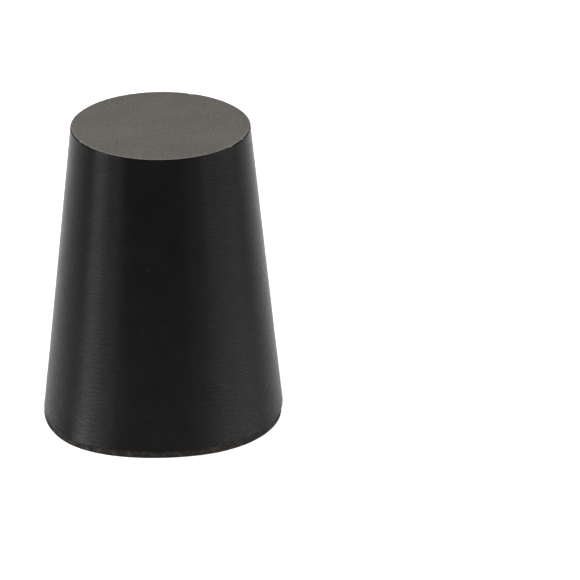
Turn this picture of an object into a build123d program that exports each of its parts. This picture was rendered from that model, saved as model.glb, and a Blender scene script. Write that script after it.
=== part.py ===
"""Solid tapered rubber stopper, moulded in one piece and trimmed round its large end.

It stands on its large end: the origin is the centre of that face, +Z runs up the axis to
the small end, and +X runs from the axis through the short stroke moulded in the large face.
"""
import os

from build123d import *

# Driving dimensions, in millimetres
large_face_diameter = 19.2    # across the flat large end
small_end_diameter = 14.2     # across the flat small end
length = 25.0                 # from face to face
trim_band_height = 0.8        # cut band between the large face and the moulded side
trim_band_flare = 0.12        # how far the band widens, on the radius, up to the rim
large_edge_radius = 0.08      # rounding where the large face meets the cut band
rim_edge_radius = 0.15        # rounding where the cut band meets the moulded side
small_edge_radius = 0.12      # rounding of the small end's edge
stroke_length = 3.2           # moulded stroke, over its round ends
stroke_width = 0.8            # at the face
stroke_depth = 0.45           # below the face
stroke_edge_gap = 1.76        # from the stroke's outer end to the large face's edge
stroke_draft = 12.0           # slope of the stroke's walls, in degrees
stroke_floor_radius = 0.1     # rounding at the foot of the stroke's walls

# Sizes that follow from them
face_radius = large_face_diameter / 2
rim_radius = face_radius + trim_band_flare
small_radius = small_end_diameter / 2
stroke_centre = face_radius - stroke_edge_gap - stroke_length / 2


def blank():
    """The turned form with sharp edges: large face, cut band, tapered side, small end."""
    outline = Polyline(
        (0, 0),
        (face_radius, 0),
        (rim_radius, trim_band_height),
        (small_radius, length),
        (0, length),
        close=True,
    )
    return revolve(make_face(Plane.XZ * outline), Axis.Z)


def round_edges(body):
    """Round the three circular edges, each with its own radius, from the top down."""
    for place, radius in ((-1, small_edge_radius), (1, rim_edge_radius), (0, large_edge_radius)):
        edge = body.edges().filter_by(GeomType.CIRCLE).sort_by(Axis.Z)[place]
        body = fillet(edge, radius)
    return body


def stroke():
    """What the short radial stroke takes out of the large face."""
    outline = Pos(stroke_centre, 0, 0) * SlotOverall(stroke_length, stroke_width)
    cut = extrude(outline, amount=stroke_depth, taper=stroke_draft)
    floor_edges = cut.faces().sort_by(Axis.Z)[-1].edges()
    return fillet(floor_edges, stroke_floor_radius)


def stopper():
    return round_edges(blank()) - stroke()


os.makedirs("parts", exist_ok=True)
export_step(stopper(), "parts/stopper.step")
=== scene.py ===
"""Solid tapered rubber stopper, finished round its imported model.

The moulding is one Geometry Nodes piece: a ring-by-ring turned form whose rule gives the flat
faces, the moulded stroke, the ragged band where the large end was cut from its sheet, the
moulded side and the nicked edge of the small end. A second piece scatters the torn tags that
the cut left behind. Everything is in metres, with the large face on the floor.
"""
import math

import bpy
from mathutils import Matrix, Vector


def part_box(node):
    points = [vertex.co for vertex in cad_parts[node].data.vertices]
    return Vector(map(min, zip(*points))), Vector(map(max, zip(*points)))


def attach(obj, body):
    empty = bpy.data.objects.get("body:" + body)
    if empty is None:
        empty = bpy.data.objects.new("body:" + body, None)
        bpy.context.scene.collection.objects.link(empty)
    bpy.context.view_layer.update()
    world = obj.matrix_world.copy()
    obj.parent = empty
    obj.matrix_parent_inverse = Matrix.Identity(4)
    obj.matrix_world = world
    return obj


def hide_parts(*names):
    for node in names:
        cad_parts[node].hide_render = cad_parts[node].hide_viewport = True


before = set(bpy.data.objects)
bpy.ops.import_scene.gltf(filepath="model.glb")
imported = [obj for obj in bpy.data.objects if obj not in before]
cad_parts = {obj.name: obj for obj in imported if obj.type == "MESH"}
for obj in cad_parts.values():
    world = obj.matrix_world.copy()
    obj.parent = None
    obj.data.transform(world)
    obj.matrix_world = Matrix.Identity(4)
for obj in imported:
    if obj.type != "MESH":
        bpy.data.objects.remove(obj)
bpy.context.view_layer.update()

bl_info = {
    "name": "Rubber Stopper",
    "version": (1, 0, 0),
    "blender": (4, 5, 0),
    "location": "View3D > Sidebar > Stopper",
    "description": "Builds a moulded rubber stopper with its cut band, its finishes and a stage",
    "category": "Object",
}

MM = 0.001
NODE = "stopper"
BODY = "root"
LOW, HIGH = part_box(NODE)


def reach_between(low, high):
    """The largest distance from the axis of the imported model's points between two heights."""
    points = (v.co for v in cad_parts[NODE].data.vertices)
    return max(math.hypot(p.x, p.y) for p in points if low <= p.z <= high)


LENGTH = HIGH.z - LOW.z
FACE_RADIUS = reach_between(LOW.z, LOW.z + 0.1 * MM)
RIM_RADIUS = reach_between(LOW.z, HIGH.z)
SMALL_RADIUS = reach_between(HIGH.z - 0.15 * MM, HIGH.z)


# ---------------------------------------------------------------- writing node trees

class Value:
    """What a node puts out, so that a rule can be written as a formula."""

    def __init__(self, tree, socket):
        self.tree = tree
        self.socket = socket

    def __add__(self, other):
        return self.tree.math("ADD", self, other)

    def __radd__(self, other):
        return self.tree.math("ADD", other, self)

    def __sub__(self, other):
        return self.tree.math("SUBTRACT", self, other)

    def __rsub__(self, other):
        return self.tree.math("SUBTRACT", other, self)

    def __mul__(self, other):
        return self.tree.math("MULTIPLY", self, other)

    def __rmul__(self, other):
        return self.tree.math("MULTIPLY", other, self)

    def __truediv__(self, other):
        return self.tree.math("DIVIDE", self, other)

    def __pow__(self, other):
        return self.tree.math("POWER", self, other)

    def __lt__(self, other):
        return self.tree.math("LESS_THAN", self, other)

    def __gt__(self, other):
        return self.tree.math("GREATER_THAN", self, other)


class Tree:
    """Adds nodes to one node tree. Each call takes values or numbers and hands back a Value."""

    def __init__(self, node_tree):
        self.node_tree = node_tree
        self.nodes = node_tree.nodes
        self.links = node_tree.links
        self.column = 0

    def add(self, kind, inputs=None, **settings):
        """One node: its settings first, then its inputs by name or number."""
        node = self.nodes.new(kind)
        node.location = (180 * (self.column // 6), -220 * (self.column % 6))
        self.column += 1
        for key, value in settings.items():
            setattr(node, key, value)
        for key, value in (inputs or {}).items():
            socket = node.inputs[key] if isinstance(key, int) else self.shown(node.inputs, key)
            if isinstance(value, Value):
                self.links.new(value.socket, socket)
            else:
                socket.default_value = value
        return node

    def shown(self, sockets, name):
        """The socket of that name which the node's settings leave in use."""
        return next(s for s in sockets if s.name == name and s.enabled)

    def get(self, kind, inputs=None, out=0, **settings):
        """One node's output, by name or number."""
        node = self.add(kind, inputs, **settings)
        socket = node.outputs[out] if isinstance(out, int) else self.shown(node.outputs, out)
        return Value(self, socket)

    def math(self, operation, a, b=0.0):
        return self.get("ShaderNodeMath", {0: a, 1: b}, operation=operation)

    def ramp(self, value, start, end, low=0.0, high=1.0, kind="LINEAR"):
        """Runs from low to high as value runs from start to end, and stays there outside."""
        inputs = {"Value": value, "From Min": start, "From Max": end, "To Min": low, "To Max": high}
        return self.get("ShaderNodeMapRange", inputs, interpolation_type=kind)

    def where(self, test, then, otherwise):
        """then where test is 1, otherwise where it is 0."""
        return otherwise + (then - otherwise) * test

    def vector(self, x, y, z):
        """The vector with these parts."""
        return self.get("ShaderNodeCombineXYZ", {0: x, 1: y, 2: z})

    def parts(self, vector):
        """The x, y and z of a vector, or the channels of a colour."""
        node = self.add("ShaderNodeSeparateXYZ", {0: vector})
        return [Value(self, socket) for socket in node.outputs]

    def stretch(self, vector, scale):
        """The vector with each of its parts multiplied."""
        return self.get("ShaderNodeVectorMath", {0: vector, 1: scale}, operation="MULTIPLY")

    def noise(self, vector, scale, detail=2.0, roughness=0.5, w=None):
        """Cloudy noise, about 0.5 on average and mostly between 0.3 and 0.7. w picks another one."""
        inputs = {"Vector": vector, "Scale": scale, "Detail": detail, "Roughness": roughness}
        if w is None:
            return self.get("ShaderNodeTexNoise", inputs, noise_dimensions="3D")
        return self.get("ShaderNodeTexNoise", {**inputs, "W": w}, noise_dimensions="4D")


class Group(Tree):
    """A node group with named inputs and outputs."""

    def __init__(self, name, kind):
        super().__init__(bpy.data.node_groups.new(name, kind))
        self.source = self.add("NodeGroupInput")
        self.target = self.add("NodeGroupOutput")

    def takes(self, name, kind, default=None):
        """One input of the group."""
        socket = self.node_tree.interface.new_socket(name, in_out="INPUT", socket_type=kind)
        if default is not None:
            socket.default_value = default
        return Value(self, self.source.outputs[name])

    def gives(self, name, kind, value):
        """One output of the group."""
        self.node_tree.interface.new_socket(name, in_out="OUTPUT", socket_type=kind)
        self.links.new(value.socket, self.target.inputs[name])

    def stored(self, name):
        """A value that the moulding's rule left on its points."""
        return self.get("GeometryNodeInputNamedAttribute", {"Name": name}, out="Attribute",
                        data_type="FLOAT")


# ---------------------------------------------------------------- what a user may change

def length_value(name, description, millimetres):
    return bpy.props.FloatProperty(name=name, description=description, default=millimetres * MM,
                                   unit="LENGTH", subtype="DISTANCE", precision=5)


def share_value(name, description, default):
    return bpy.props.FloatProperty(name=name, description=description, default=default, min=0.0)


def colour_value(name, description, default):
    return bpy.props.FloatVectorProperty(name=name, description=description, default=default,
                                         subtype="COLOR", size=3, min=0.0, max=1.0)


class StopperShape(bpy.types.PropertyGroup):
    """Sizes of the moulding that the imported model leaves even."""
    band_low: length_value("Band at its narrowest", "Least height of the cut band", 0.28)
    band_high: length_value("Band at its widest", "Greatest height of the cut band", 1.1)
    band_relief: length_value("Band relief", "How deep the torn surface of the band is", 0.07)
    band_step: length_value("Band step", "How far the band is cut in below the moulded side", 0.04)
    edge_spread: length_value("Edge spread", "From the packed face's edge out to the torn one", 0.14)
    edge_wander: length_value("Edge wander", "How far the large face's edge strays", 0.03)
    foot_reach: length_value("Foot reach", "Height over which the swollen foot dies out", 2.4)
    small_edge: length_value("Small edge", "Rounding of the small end's edge", 0.12)
    nick_depth: length_value("Nick depth", "Depth of the nicks in the small end's edge", 0.06)
    side_wave: length_value("Side wave", "Height of the side's slow unevenness", 0.013)
    stroke_centre: length_value("Stroke place", "From the axis to the middle of the stroke", 6.24)
    stroke_length: length_value("Stroke length", "Length of the moulded stroke", 3.2)
    stroke_width: length_value("Stroke width", "Width of the moulded stroke", 0.8)
    stroke_depth: length_value("Stroke depth", "Depth of the moulded stroke", 0.45)
    witness_height: length_value("Witness line", "Height of the faint mould line", 2.75)
    segments: bpy.props.IntProperty(name="Segments", description="Steps round the axis",
                                    default=600, min=24)
    seed: bpy.props.IntProperty(name="Seed", description="Changes the random shapes", default=4)


class StopperFinish(bpy.types.PropertyGroup):
    """Colours of the moulding's surfaces."""
    side: colour_value("Side", "Moulded side", (0.0009, 0.0008, 0.0008))
    small_face: colour_value("Small face", "Flat small end", (0.117, 0.111, 0.101))
    large_face: colour_value("Large face", "Flat large end", (0.112, 0.105, 0.098))
    band: colour_value("Cut band", "Freshly cut rubber in the band's hollows", (0.0055, 0.0048, 0.0044))
    bloom: colour_value("Bloom", "Dusty rubber on the band's high spots", (0.034, 0.026, 0.0205))
    tags: share_value("Tags", "Torn tags for each square millimetre of the band's edge", 9.0)


class StopperStage(bpy.types.PropertyGroup):
    """Camera and light."""
    elevation: bpy.props.FloatProperty(name="Elevation", description="Angle the camera looks down",
                                       default=math.radians(24.35), subtype="ANGLE", unit="ROTATION")
    distance: length_value("Distance", "From the camera to the point it aims at", 391.3)
    lens: share_value("Lens", "Focal length in millimetres on a 36 mm sensor", 300.0)
    aim_aside: length_value("Aim aside", "How far right of the axis the camera aims", 10.327)
    aim_height: length_value("Aim height", "Height that the camera aims at", 10.54)
    daylight: share_value("Surround", "Brightness of the white surround", 0.55)


# ---------------------------------------------------------------- the moulding

# Where the hand trim left the large end out of round, as angle and spread in degrees, and reach.
# The foot is a swelling that runs up the side, and the cuts are flats in the band
FOOT_PLACE = (225.0, 18.0)
FOOT_REACH_OUT = 0.38 * MM
CUTS = ((276.0, 22.0, 0.45 * MM), (28.0, 26.0, 0.26 * MM), (142.0, 15.0, 0.22 * MM))

# Angles of the larger nicks in the small end's edge, and how wide each one is, in degrees
NICKS = (-6.0, -22.0, -37.0, 71.0, 163.0, 208.0)
NICK_SPREAD = 1.1

END_RIM = 0.55 * MM           # width of the ring of faces just inside the small end's edge
STROKE_MARGIN = 0.62          # share of the stroke's length that the fine rings reach from its middle
LIP_HEIGHT = 0.16 * MM        # how far the side's lip runs up from the torn band
LIP_REACH = 0.03 * MM         # how far it stands out
WITNESS_HALF_WIDTH = 0.09 * MM
WITNESS_RELIEF = 0.012 * MM
END_WAVE = 0.03 * MM          # slow unevenness of the small face

# Rings of the moulding, counted from the large face's centre to the small face's centre
RINGS = {
    "centre": 0,
    "inner_face": 7,      # large face, inside the stroke
    "stroke": 44,         # across the stroke's length
    "face_edge": 50,      # out to the edge of the large face
    "band_edge": 78,      # up the cut band
    "side": 116,          # up the moulded side
    "small_edge": 122,    # round the small end's edge
    "small_rim": 126,     # in from it
    "small_centre": 134,  # to the middle of the small face
}


def moulding_tree():
    """Geometry Nodes group that turns a flat grid into the moulding, ring by ring."""
    g = Group("Moulded stopper", "GeometryNodeTree")
    distance = {name: g.takes(name, "NodeSocketFloat") for name in (
        "Length", "Face radius", "Rim radius", "Small radius", "Band low", "Band high",
        "Band relief", "Band step", "Edge spread", "Edge wander", "Foot reach", "Small edge",
        "Nick depth", "Side wave", "Stroke centre", "Stroke length", "Stroke width",
        "Stroke depth", "Witness height")}
    segments = g.takes("Segments", "NodeSocketInt", 600)
    seed = g.takes("Seed", "NodeSocketFloat", 0.0)
    finish = [g.takes(name, "NodeSocketMaterial") for name in
              ("Large face", "Cut band", "Side", "Small face")]

    rings = RINGS["small_centre"]
    grid = g.get("GeometryNodeMeshGrid", {"Size X": 1.0, "Size Y": 1.0,
                                          "Vertices X": segments + 1, "Vertices Y": rings + 1})
    across, along, _ = g.parts(g.get("GeometryNodeInputPosition"))
    angle = (across + 0.5) * math.tau
    ring = (along + 0.5) * rings
    cosine, sine = g.math("COSINE", angle), g.math("SINE", angle)
    round_axis = g.vector(cosine, sine, 0.0)

    def stage(start, end):
        """0 to 1 between two of the ring counts."""
        return g.ramp(ring, float(RINGS[start]), float(RINGS[end]))

    def wander(scale, shift, detail=2.0):
        """Noise from about -1 to 1 that closes on itself round the axis."""
        return (g.noise(round_axis, scale, detail, 0.6, seed + shift) - 0.5) * 3.2

    def round_about(place, spread):
        """1 at an angle in degrees, and less away from it."""
        return g.math("EXPONENT", (g.math("COSINE", angle - math.radians(place)) - 1.0)
                      * math.radians(spread) ** -2)

    # Large face: flat, out to an edge that wanders where the sheet was cut
    foot_side = round_about(*FOOT_PLACE)
    swell = foot_side * FOOT_REACH_OUT
    edge_radius = distance["Face radius"] + distance["Edge spread"] + swell
    edge_radius = edge_radius + distance["Edge wander"] * wander(3.1, 11.0)
    for place, spread, depth in CUTS:
        edge_radius = edge_radius - round_about(place, spread) * depth
    inner = distance["Stroke centre"] - distance["Stroke length"] * STROKE_MARGIN
    outer = distance["Stroke centre"] + distance["Stroke length"] * STROKE_MARGIN
    face_radius = (inner * stage("centre", "inner_face")
                   + (outer - inner) * stage("inner_face", "stroke")
                   + (edge_radius - outer) * stage("stroke", "face_edge"))

    # Cut band: from the face's edge to a ragged border with the moulded side
    middle = (distance["Band low"] + distance["Band high"]) * 0.5
    swing = (distance["Band high"] - distance["Band low"]) * 0.5
    ragged = wander(1.3, 3.0) * 0.75 + wander(6.0, 5.0) * 0.3 + wander(34.0, 7.0, 3.0) * 0.14
    border = middle + swing * g.math("MAXIMUM", g.math("MINIMUM", ragged, 1.0), -1.0)
    border = border * (1.0 - foot_side * 0.4)
    taper = (distance["Rim radius"] - distance["Small radius"]) / distance["Length"]

    def side_radius(height):
        foot = swell * g.math("EXPONENT", -1.0 * height / distance["Foot reach"])
        return distance["Rim radius"] - (height - middle) * taper + foot

    up_band = stage("face_edge", "band_edge")
    band_radius = (edge_radius + (side_radius(border) - edge_radius) * up_band ** 0.6
                   - distance["Band step"] * g.ramp(up_band, 0.0, 0.35) * (up_band < 0.97))

    # Moulded side: a straight cone, with its rings closer together near both ends
    up_side = g.ramp(stage("band_edge", "side"), 0.0, 1.0, kind="SMOOTHSTEP")
    shoulder = distance["Length"] - distance["Small edge"]
    side_height = border + (shoulder - border) * up_side

    # Small end: rounded, nicked edge and a flat face
    turn = stage("side", "small_edge") * (math.pi / 2)
    top_radius = distance["Small radius"] - distance["Small edge"]
    chipped = g.ramp(wander(52.0, 17.0, 1.0), 1.05, 1.5)
    for place in NICKS:
        chipped = g.math("MAXIMUM", chipped, round_about(place, NICK_SPREAD))
    near_edge = 1.0 - stage("small_edge", "small_rim")
    nick = chipped * distance["Nick depth"] * near_edge
    uneven = (wander(9.0, 19.0) * 0.018 + wander(60.0, 29.0) * 0.010) * MM * near_edge
    small_radius = (top_radius + distance["Small edge"] * g.math("COSINE", turn) + uneven
                    - nick * g.math("SINE", turn + 0.6)
                    - END_RIM * stage("small_edge", "small_rim")
                    - (top_radius - END_RIM) * stage("small_rim", "small_centre"))
    small_height = shoulder + distance["Small edge"] * g.math("SINE", turn) - nick * 0.7

    on_face = ring < RINGS["face_edge"] + 0.5
    on_band = (ring < RINGS["band_edge"] + 0.5) * (1.0 - on_face)
    on_end = ring > RINGS["side"] + 0.5
    radius = g.where(on_face, face_radius, g.where(on_band, band_radius, side_radius(side_height)))
    radius = g.where(on_end, small_radius, radius)
    height = g.where(on_face, 0.0, g.where(on_band, border * up_band, side_height))
    height = g.where(on_end, small_height, height)

    # Relief across the surface: torn band, uneven side, lip over the band, witness line
    place = g.vector(radius * cosine, radius * sine, height)
    torn = g.noise(place, 2600.0, 3.0, 0.62, seed) - 0.5
    cells = g.get("ShaderNodeTexVoronoi", {"Vector": place, "Scale": 3400.0}, out="Distance")
    pits = g.ramp(cells, 0.16, 0.42, -0.55, 0.0) * (g.noise(place, 900.0, 0.0) > 0.5)
    inside_band = g.ramp(up_band, 0.0, 0.12) * (1.0 - (ring > RINGS["band_edge"] - 0.5))
    relief = distance["Band relief"] * (torn * 1.6 + pits) * inside_band
    above = height - border
    lip = g.ramp(above, 0.0, LIP_HEIGHT, 1.0, 0.0, "SMOOTHSTEP") * (wander(26.0, 23.0) + 0.6)
    wave = distance["Side wave"] * ((g.noise(place, 260.0, 1.0) - 0.5) * 1.4
                                    + (g.noise(place, 1100.0, 1.0) - 0.5) * 0.3)
    from_line = g.math("ABSOLUTE", height - distance["Witness height"])
    line = g.ramp(from_line, 0.0, WITNESS_HALF_WIDTH, 1.0, 0.0) * WITNESS_RELIEF
    on_side = (1.0 - on_face) * (1.0 - on_band) * (1.0 - on_end)
    settled = (on_side * g.ramp(above, 0.0, 0.6 * MM)
               * g.ramp(height, shoulder - 0.8 * MM, shoulder, 1.0, 0.0))
    radius = radius + relief + lip * LIP_REACH * on_side + wave * settled + line * settled

    # Moulded stroke: a slot with round ends, sunk in the large face along +X
    x, y = radius * cosine, radius * sine
    half_run = (distance["Stroke length"] - distance["Stroke width"]) * 0.5
    beyond = g.math("MAXIMUM", g.math("ABSOLUTE", x - distance["Stroke centre"]) - half_run, 0.0)
    inward = distance["Stroke width"] * 0.5 - g.math("SQRT", beyond * beyond + y * y)
    sunk = g.ramp(inward, -0.03 * MM, 0.15 * MM, kind="SMOOTHSTEP") * on_face
    end_wave = (g.noise(place, 190.0, 1.0) - 0.5) * END_WAVE * on_end
    height = (height + sunk * distance["Stroke depth"]
              + end_wave * stage("small_edge", "small_rim"))

    # The zones are stored first, because moving the points changes what the rule reads
    shape = grid
    zones = {"ring": ring, "stroke": sunk, "nick": nick / distance["Nick depth"] * on_end}
    for name, value in zones.items():
        shape = g.get("GeometryNodeStoreNamedAttribute",
                      {"Geometry": shape, "Name": name, "Value": value},
                      data_type="FLOAT", domain="POINT")
    shape = g.get("GeometryNodeSetPosition", {"Geometry": shape, "Position": g.vector(x, y, height)})
    shape = g.get("GeometryNodeMergeByDistance", {"Geometry": shape, "Distance": 0.0001 * MM})
    shape = g.get("GeometryNodeSetShadeSmooth", {"Geometry": shape, "Shade Smooth": True})
    shape = g.get("GeometryNodeRealizeInstances", {"Geometry": shape})
    stored = g.stored("ring")
    borders = (RINGS["centre"], RINGS["face_edge"], RINGS["band_edge"], RINGS["side"] + 2)
    for material, first in zip(finish, borders):
        shape = g.get("GeometryNodeSetMaterial",
                      {"Geometry": shape, "Selection": stored > float(first), "Material": material})
    g.gives("Geometry", "NodeSocketGeometry", shape)
    return g.node_tree


FLAKE_RADIUS = 0.075 * MM
FLAKE_SHAPE = (1.0, 0.62, 0.4)    # how much a flake is flattened along each of its axes
FLAKE_CRUMPLE = 0.09 * MM         # how far its surface is pushed about


def tags_tree():
    """Geometry Nodes group that scatters torn tags of rubber along the band's upper border."""
    g = Group("Torn tags", "GeometryNodeTree")
    source = g.takes("Moulding", "NodeSocketObject")
    density = g.takes("Density", "NodeSocketFloat", 1.0)
    seed = g.takes("Seed", "NodeSocketInt", 0)
    material = g.takes("Material", "NodeSocketMaterial")
    body = g.get("GeometryNodeObjectInfo", {"Object": source}, out="Geometry",
                 transform_space="ORIGINAL")
    ring = g.stored("ring")
    near_border = (ring > RINGS["band_edge"] - 8.0) * (ring < RINGS["band_edge"] + 1.0)
    points = g.add("GeometryNodeDistributePointsOnFaces",
                   {"Mesh": body, "Selection": near_border, "Density": density, "Seed": seed})
    size = g.get("FunctionNodeRandomValue", {"Min": 0.25, "Max": 1.0, "Seed": seed + 1},
                 out="Value", data_type="FLOAT")
    turned = g.get("FunctionNodeRandomValue",
                   {"Min": (0.0,) * 3, "Max": (math.tau,) * 3, "Seed": seed + 2},
                   out="Value", data_type="FLOAT_VECTOR")
    flake = g.get("GeometryNodeMeshIcoSphere", {"Radius": FLAKE_RADIUS, "Subdivisions": 2})
    flake = g.get("GeometryNodeTransform", {"Geometry": flake, "Scale": FLAKE_SHAPE})
    tags = g.get("GeometryNodeInstanceOnPoints",
                 {"Points": Value(g, points.outputs["Points"]), "Instance": flake, "Rotation": turned,
                  "Scale": g.vector(size, size, size)})
    tags = g.get("GeometryNodeRealizeInstances", {"Geometry": tags})
    place = g.get("GeometryNodeInputPosition")
    crumple = g.get("ShaderNodeTexNoise", {"Vector": place, "Scale": 9000.0}, out=1)
    push = g.get("ShaderNodeVectorMath", {0: crumple, 1: (0.5, 0.5, 0.5)}, operation="SUBTRACT")
    push = g.get("ShaderNodeVectorMath", {0: push, "Scale": FLAKE_CRUMPLE}, operation="SCALE")
    tags = g.get("GeometryNodeSetPosition", {"Geometry": tags, "Offset": push})
    tags = g.get("GeometryNodeSetMaterial", {"Geometry": tags, "Material": material})
    g.gives("Geometry", "NodeSocketGeometry", tags)
    return g.node_tree


def grown(name, node_tree, settings):
    """A plain mesh object made by a Geometry Nodes group with these inputs."""
    piece = bpy.data.objects.new(name, bpy.data.meshes.new(name))
    bpy.context.scene.collection.objects.link(piece)
    modifier = piece.modifiers.new("Rule", "NODES")
    modifier.node_group = node_tree
    sockets = {item.name: item.identifier for item in node_tree.interface.items_tree
               if item.item_type == "SOCKET" and item.in_out == "INPUT"}
    for socket, value in settings.items():
        modifier[sockets[socket]] = value
    depsgraph = bpy.context.evaluated_depsgraph_get()
    mesh = bpy.data.meshes.new_from_object(piece.evaluated_get(depsgraph),
                                           preserve_all_data_layers=True, depsgraph=depsgraph)
    piece.modifiers.remove(modifier)
    piece.data = mesh
    mesh.name = name
    return piece


# ---------------------------------------------------------------- finishes

def grain_group():
    """Shader group: fine moulded grain, cloudy mottling and sparse specks on Object coordinates."""
    g = Group("Rubber grain", "ShaderNodeTree")
    place = g.takes("Place", "NodeSocketVector")
    grain_size = g.takes("Grain per metre", "NodeSocketFloat", 6000.0)
    cloud_size = g.takes("Clouds per metre", "NodeSocketFloat", 400.0)
    speck_size = g.takes("Specks per metre", "NodeSocketFloat", 1500.0)
    grain = g.noise(place, grain_size, 3.0, 0.65)
    clouds = g.noise(place, cloud_size, 4.0, 0.55)
    cells = g.add("ShaderNodeTexVoronoi", {"Vector": place, "Scale": speck_size})
    chosen = g.parts(Value(g, cells.outputs["Color"]))
    near = g.ramp(Value(g, cells.outputs["Distance"]), 0.05, 0.13, 1.0, 0.0)
    g.gives("Grain", "NodeSocketFloat", grain)
    g.gives("Clouds", "NodeSocketFloat", clouds)
    g.gives("Dark specks", "NodeSocketFloat", near * (chosen[0] > 0.75))
    g.gives("Light specks", "NodeSocketFloat", near * (chosen[1] > 0.965))
    return g.node_tree


def turning_group():
    """Shader group: the faint lines that the turned mould left round the side."""
    g = Group("Turning lines", "ShaderNodeTree")
    place = g.takes("Place", "NodeSocketVector")
    fine = g.noise(g.stretch(place, (1000.0, 1000.0, 9000.0)), 1.0, 2.0, 0.6)
    broad = g.noise(g.stretch(place, (300.0, 300.0, 2600.0)), 1.0, 1.0, 0.5)
    patches = g.noise(place, 330.0, 3.0, 0.6)
    g.gives("Lines", "NodeSocketFloat", fine * 0.8 + broad * 0.2)
    g.gives("Patches", "NodeSocketFloat", patches)
    return g.node_tree


class Finish(Tree):
    """One material: a Principled shader and the nodes that vary it over the surface."""

    def __init__(self, name, **plain):
        self.material = bpy.data.materials.new(name)
        self.material.use_nodes = True
        super().__init__(self.material.node_tree)
        self.nodes.clear()
        self.shader = self.add("ShaderNodeBsdfPrincipled", plain)
        out = self.add("ShaderNodeOutputMaterial")
        self.links.new(self.shader.outputs[0], out.inputs["Surface"])
        self.place = self.get("ShaderNodeTexCoord", out="Object")

    def group(self, name, inputs):
        """A shared group's outputs by name."""
        node = self.add("ShaderNodeGroup", node_tree=bpy.data.node_groups[name])
        for key, value in inputs.items():
            if isinstance(value, Value):
                self.links.new(value.socket, node.inputs[key])
            else:
                node.inputs[key].default_value = value
        return {socket.name: Value(self, socket) for socket in node.outputs}

    def grain(self, grain, clouds, specks):
        """The shared grain, with how many grains, clouds and specks there are in a metre."""
        return self.group("Rubber grain", {"Place": self.place, "Grain per metre": grain,
                                           "Clouds per metre": clouds, "Specks per metre": specks})

    def stored(self, name):
        """A value that the moulding's rule left on its points."""
        return self.get("ShaderNodeAttribute", out="Fac", attribute_name=name)

    def blend(self, share, first, second):
        """Colour that runs from first to second."""
        inputs = {"Factor": share, "A": first, "B": second}
        return self.get("ShaderNodeMix", inputs, out="Result", data_type="RGBA")

    def shade(self, colour, level):
        """Colour made lighter or darker by a level about 1."""
        return self.get("ShaderNodeVectorMath", {0: colour, "Scale": level}, operation="SCALE")

    def drive(self, **values):
        """Feeds values to the shader's inputs, whose names have _ for each space."""
        for name, value in values.items():
            self.links.new(value.socket, self.shader.inputs[name.replace("_", " ")])

    def bump(self, height, depth):
        """Relief from a height of 0 to 1, depth metres deep."""
        inputs = {"Height": height, "Distance": depth, "Strength": 1.0}
        self.drive(Normal=self.get("ShaderNodeBump", inputs))


# Colours beside the ones that a user may change
GREYED_SIDE = (0.0022, 0.0021, 0.0020, 1.0)
SIDE_DUST = (0.022, 0.021, 0.020, 1.0)
NICKED_EDGE = (0.16, 0.15, 0.138, 1.0)
STROKE_FLOOR = (0.006, 0.0055, 0.005, 1.0)
BAND_CRUMBS = (0.12, 0.11, 0.10, 1.0)


def rgba(colour):
    return (*colour, 1.0)


def side_finish(colours):
    """Satin black side: lines round it, soft patches, and more sheen and relief to the foot."""
    f = Finish("moulded_side", **{"IOR": 1.18, "Anisotropic": 0.95, "Anisotropic Rotation": 0.25})
    grain = f.grain(6500.0, 500.0, 2100.0)
    lines = f.group("Turning lines", {"Place": f.place})
    tangent = f.get("ShaderNodeTangent", direction_type="RADIAL", axis="Z")
    f.links.new(tangent.socket, f.shader.inputs["Tangent"])
    dark = f.blend(f.ramp(grain["Clouds"], 0.35, 0.7), rgba(colours.side), GREYED_SIDE)
    dusty = f.blend(grain["Light specks"], dark, SIDE_DUST)
    f.drive(Base_Color=f.blend(f.stored("nick") * 0.8, dusty, NICKED_EDGE))
    worn = f.ramp(f.parts(f.place)[2], 0.0, LENGTH, 1.0, 0.0)
    uneven = ((lines["Patches"] - 0.5) * 0.10 + (lines["Lines"] - 0.5) * 0.12
              + (grain["Grain"] - 0.5) * 0.16)
    f.drive(Roughness=0.28 + worn * 0.045 + uneven)
    f.drive(Specular_IOR_Level=0.38 + worn * worn * 0.28)
    relief = lines["Lines"] * 0.7 + grain["Grain"] * 0.22 - grain["Dark specks"] * 0.25
    f.bump(relief * (1.1 + worn * 1.9), 0.026 * MM)
    return f.material


def end_finish(name, colour, grain_size, contrast):
    """Matt end face: dusty brown-grey with fine grain, clouds and darker specks."""
    f = Finish(name, **{"IOR": 1.3})
    grain = f.grain(grain_size, 240.0, 1100.0)
    streaks = f.noise(f.stretch(f.place, (1400.0, 4200.0, 4200.0)), 1.0, 2.0, 0.6)
    level = (0.97 + (grain["Grain"] - 0.5) * contrast + (grain["Clouds"] - 0.5) * 0.52
             + (streaks - 0.5) * 0.35 - grain["Dark specks"] * 0.16)
    dusty = f.shade(colour, level)
    f.drive(Base_Color=f.blend(f.stored("stroke"), dusty, STROKE_FLOOR))
    f.drive(Roughness=f.ramp(f.stored("stroke"), 0.0, 1.0, 0.88, 0.45))
    f.bump(grain["Grain"], 0.012 * MM)
    return f.material


def band_finish(name, colours, dust):
    """Cut band: torn rubber, black with cloudy patches of dusty brown and a few light crumbs."""
    f = Finish(name, **{"IOR": 1.25})
    grain = f.grain(5200.0, 1900.0, 2600.0)
    share = f.ramp(grain["Clouds"] + (grain["Grain"] - 0.5) * 0.9, 0.48, 0.74) * dust
    torn = f.blend(share, rgba(colours.band), rgba(colours.bloom))
    f.drive(Base_Color=f.blend(grain["Light specks"], torn, BAND_CRUMBS))
    f.drive(Roughness=f.ramp(grain["Grain"], 0.3, 0.7, 0.7, 0.95))
    f.bump(grain["Grain"] * 0.6 + grain["Clouds"] * 0.4, 0.05 * MM)
    return f.material


# ---------------------------------------------------------------- stage

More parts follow.
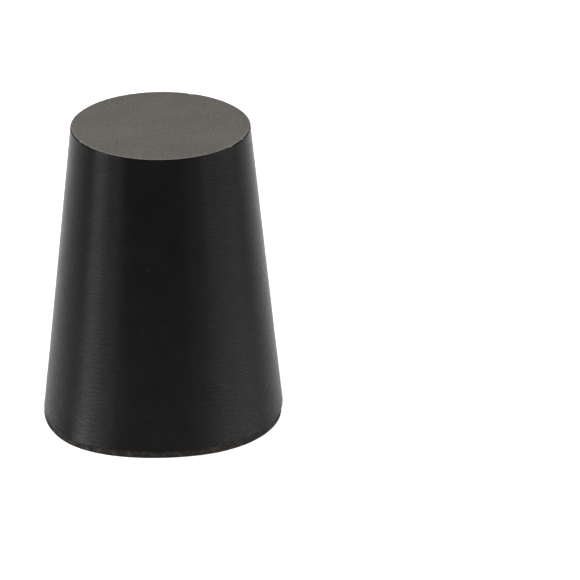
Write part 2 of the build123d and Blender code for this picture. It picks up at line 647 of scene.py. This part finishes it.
WHITE = (1.0, 1.0, 1.0, 1.0)
SURROUND_TINT = (1.0, 0.965, 0.94, 1.0)
FLOOR_RADIUS = 3.0
FLOOR_COLOUR = (0.86, 0.855, 0.85, 1.0)
FLOOR_LIFT = 0.56     # what the floor adds to its own light so that it meets the white surround
LAMP_DISTANCE = 900.0 * MM

# Name, angle round from the camera and half the angle it fills in degrees, height in metres,
# and how many times as bright as white it looks
LAMPS = (
    ("left_core", -76.0, 8.0, 0.45, 13.0),
    ("left_wide", -67.0, 21.0, 0.45, 7.6),
    ("right_core", 76.0, 24.0, 0.45, 6.4),
    ("right_wide", 62.0, 32.0, 0.45, 2.4),
)


def lamp(name, angle, half, tall, brightness):
    """A soft rectangular lamp that stands on the floor and faces the stopper."""
    data = bpy.data.lights.new(name, "AREA")
    data.shape = "RECTANGLE"
    data.size = 2 * LAMP_DISTANCE * math.tan(math.radians(half))
    data.size_y = tall
    data.energy = brightness * math.pi * data.size * data.size_y
    piece = bpy.data.objects.new(name, data)
    bpy.context.scene.collection.objects.link(piece)
    round_by = math.radians(angle)
    place = Vector((math.sin(round_by), -math.cos(round_by), 0)) * LAMP_DISTANCE
    piece.location = place + Vector((0, 0, tall / 2))
    piece.rotation_euler = (-place).to_track_quat("-Z", "Y").to_euler()
    piece.visible_camera = False


def seen_directly(tree):
    """1 for what the camera, a mirror or a glass shows, 0 for light on other surfaces."""
    path = tree.add("ShaderNodeLightPath")
    seen = [Value(tree, path.outputs[name])
            for name in ("Is Camera Ray", "Is Glossy Ray", "Is Transmission Ray")]
    return tree.math("MINIMUM", seen[0] + seen[1] + seen[2], 1.0)


def white_surround(daylight):
    """World: even white light, and plain white where it is seen."""
    world = bpy.data.worlds.new("surround")
    bpy.context.scene.world = world
    world.use_nodes = True
    world.node_tree.nodes.clear()
    t = Tree(world.node_tree)
    path = t.add("ShaderNodeLightPath")
    level = t.ramp(seen_directly(t), 0.0, 1.0, daylight, 1.0)
    seen = Value(t, path.outputs["Is Camera Ray"])
    tint = t.get("ShaderNodeMix", {"Factor": seen, "A": SURROUND_TINT, "B": WHITE}, out="Result",
                 data_type="RGBA")
    back = t.get("ShaderNodeBackground", {"Color": tint, "Strength": level})
    out = t.add("ShaderNodeOutputWorld")
    t.links.new(back.socket, out.inputs["Surface"])


def floor():
    """A plain pale floor that keeps the stopper's shadow."""
    bpy.ops.mesh.primitive_circle_add(vertices=64, radius=FLOOR_RADIUS, fill_type="NGON")
    piece = bpy.context.object
    piece.name = "floor"
    material = bpy.data.materials.new("floor_pale")
    material.use_nodes = True
    material.node_tree.nodes.clear()
    t = Tree(material.node_tree)
    matt = t.get("ShaderNodeBsdfDiffuse", {"Color": FLOOR_COLOUR})
    glow = t.get("ShaderNodeEmission",
                 {"Color": WHITE, "Strength": seen_directly(t) * FLOOR_LIFT})
    both = t.get("ShaderNodeAddShader", {0: matt, 1: glow})
    out = t.add("ShaderNodeOutputMaterial")
    t.links.new(both.socket, out.inputs["Surface"])
    piece.data.materials.append(material)


def camera(view):
    """The camera, level from side to side, with no shift."""
    data = bpy.data.cameras.new("camera")
    data.lens = view.lens
    data.sensor_width = 36.0
    data.clip_start = 0.01
    data.clip_end = 20.0
    piece = bpy.data.objects.new("camera", data)
    bpy.context.scene.collection.objects.link(piece)
    aim = Vector((view.aim_aside, 0.0, view.aim_height))
    back = Vector((0.0, -math.cos(view.elevation), math.sin(view.elevation)))
    piece.matrix_world = (Matrix.Translation(aim + back * view.distance)
                          @ Matrix.Rotation(math.pi / 2 - view.elevation, 4, "X"))
    bpy.context.scene.camera = piece


# ---------------------------------------------------------------- operators

class STOPPER_OT_finishes(bpy.types.Operator):
    """Make the rubber finishes"""
    bl_idname = "stopper.finishes"
    bl_label = "Finishes"

    def execute(self, context):
        colours = context.scene.stopper_finish
        grain_group()
        turning_group()
        side_finish(colours)
        end_finish("small_end_face", colours.small_face, 4600.0, 1.1)
        end_finish("large_end_face", colours.large_face, 6000.0, 0.80)
        band_finish("cut_band", colours, 1.0)
        band_finish("torn_tag", colours, 0.6)
        return {"FINISHED"}


class STOPPER_OT_moulding(bpy.types.Operator):
    """Build the moulding in place of the plain model"""
    bl_idname = "stopper.moulding"
    bl_label = "Moulding"

    def execute(self, context):
        shape = context.scene.stopper_shape
        finish = bpy.data.materials
        piece = grown("moulded_stopper", moulding_tree(), {
            "Length": LENGTH, "Face radius": FACE_RADIUS, "Rim radius": RIM_RADIUS,
            "Small radius": SMALL_RADIUS, "Band low": shape.band_low, "Band high": shape.band_high,
            "Band relief": shape.band_relief, "Band step": shape.band_step,
            "Edge spread": shape.edge_spread, "Edge wander": shape.edge_wander,
            "Foot reach": shape.foot_reach, "Small edge": shape.small_edge,
            "Nick depth": shape.nick_depth, "Side wave": shape.side_wave,
            "Stroke centre": shape.stroke_centre, "Stroke length": shape.stroke_length,
            "Stroke width": shape.stroke_width, "Stroke depth": shape.stroke_depth,
            "Witness height": shape.witness_height, "Segments": shape.segments,
            "Seed": float(shape.seed),
            "Large face": finish["large_end_face"], "Cut band": finish["cut_band"],
            "Side": finish["moulded_side"], "Small face": finish["small_end_face"],
        })
        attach(piece, BODY)
        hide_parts(NODE)
        return {"FINISHED"}


class STOPPER_OT_tags(bpy.types.Operator):
    """Scatter the torn tags along the cut band"""
    bl_idname = "stopper.tags"
    bl_label = "Torn tags"

    def execute(self, context):
        piece = grown("torn_tags", tags_tree(), {
            "Moulding": bpy.data.objects["moulded_stopper"],
            "Density": context.scene.stopper_finish.tags / MM ** 2,
            "Seed": context.scene.stopper_shape.seed,
            "Material": bpy.data.materials["torn_tag"],
        })
        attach(piece, BODY)
        return {"FINISHED"}


class STOPPER_OT_stage(bpy.types.Operator):
    """Set up the floor, the lamps, the surround and the camera"""
    bl_idname = "stopper.stage"
    bl_label = "Stage"

    def execute(self, context):
        view = context.scene.stopper_stage
        context.scene.view_settings.view_transform = "Standard"
        white_surround(view.daylight)
        floor()
        for settings in LAMPS:
            lamp(*settings)
        camera(view)
        return {"FINISHED"}


class STOPPER_PT_panel(bpy.types.Panel):
    """Lists the steps and the sizes"""
    bl_label = "Rubber stopper"
    bl_idname = "STOPPER_PT_panel"
    bl_space_type = "VIEW_3D"
    bl_region_type = "UI"
    bl_category = "Stopper"

    def draw(self, context):
        for step in STEPS:
            self.layout.operator(step.bl_idname)
        for name, group in GROUPS.items():
            for value in group.__annotations__:
                self.layout.prop(getattr(context.scene, name), value)


STEPS = (STOPPER_OT_finishes, STOPPER_OT_moulding, STOPPER_OT_tags, STOPPER_OT_stage)
GROUPS = {"stopper_shape": StopperShape, "stopper_finish": StopperFinish, "stopper_stage": StopperStage}


def register():
    for item in (*GROUPS.values(), *STEPS, STOPPER_PT_panel):
        bpy.utils.register_class(item)
    for name, group in GROUPS.items():
        setattr(bpy.types.Scene, name, bpy.props.PointerProperty(type=group))


def unregister():
    for name in GROUPS:
        delattr(bpy.types.Scene, name)
    for item in (STOPPER_PT_panel, *reversed(STEPS), *reversed(list(GROUPS.values()))):
        bpy.utils.unregister_class(item)


def main():
    register()
    bpy.ops.stopper.finishes()
    bpy.ops.stopper.moulding()
    bpy.ops.stopper.tags()
    bpy.ops.stopper.stage()


if __name__ == "__main__":
    main()
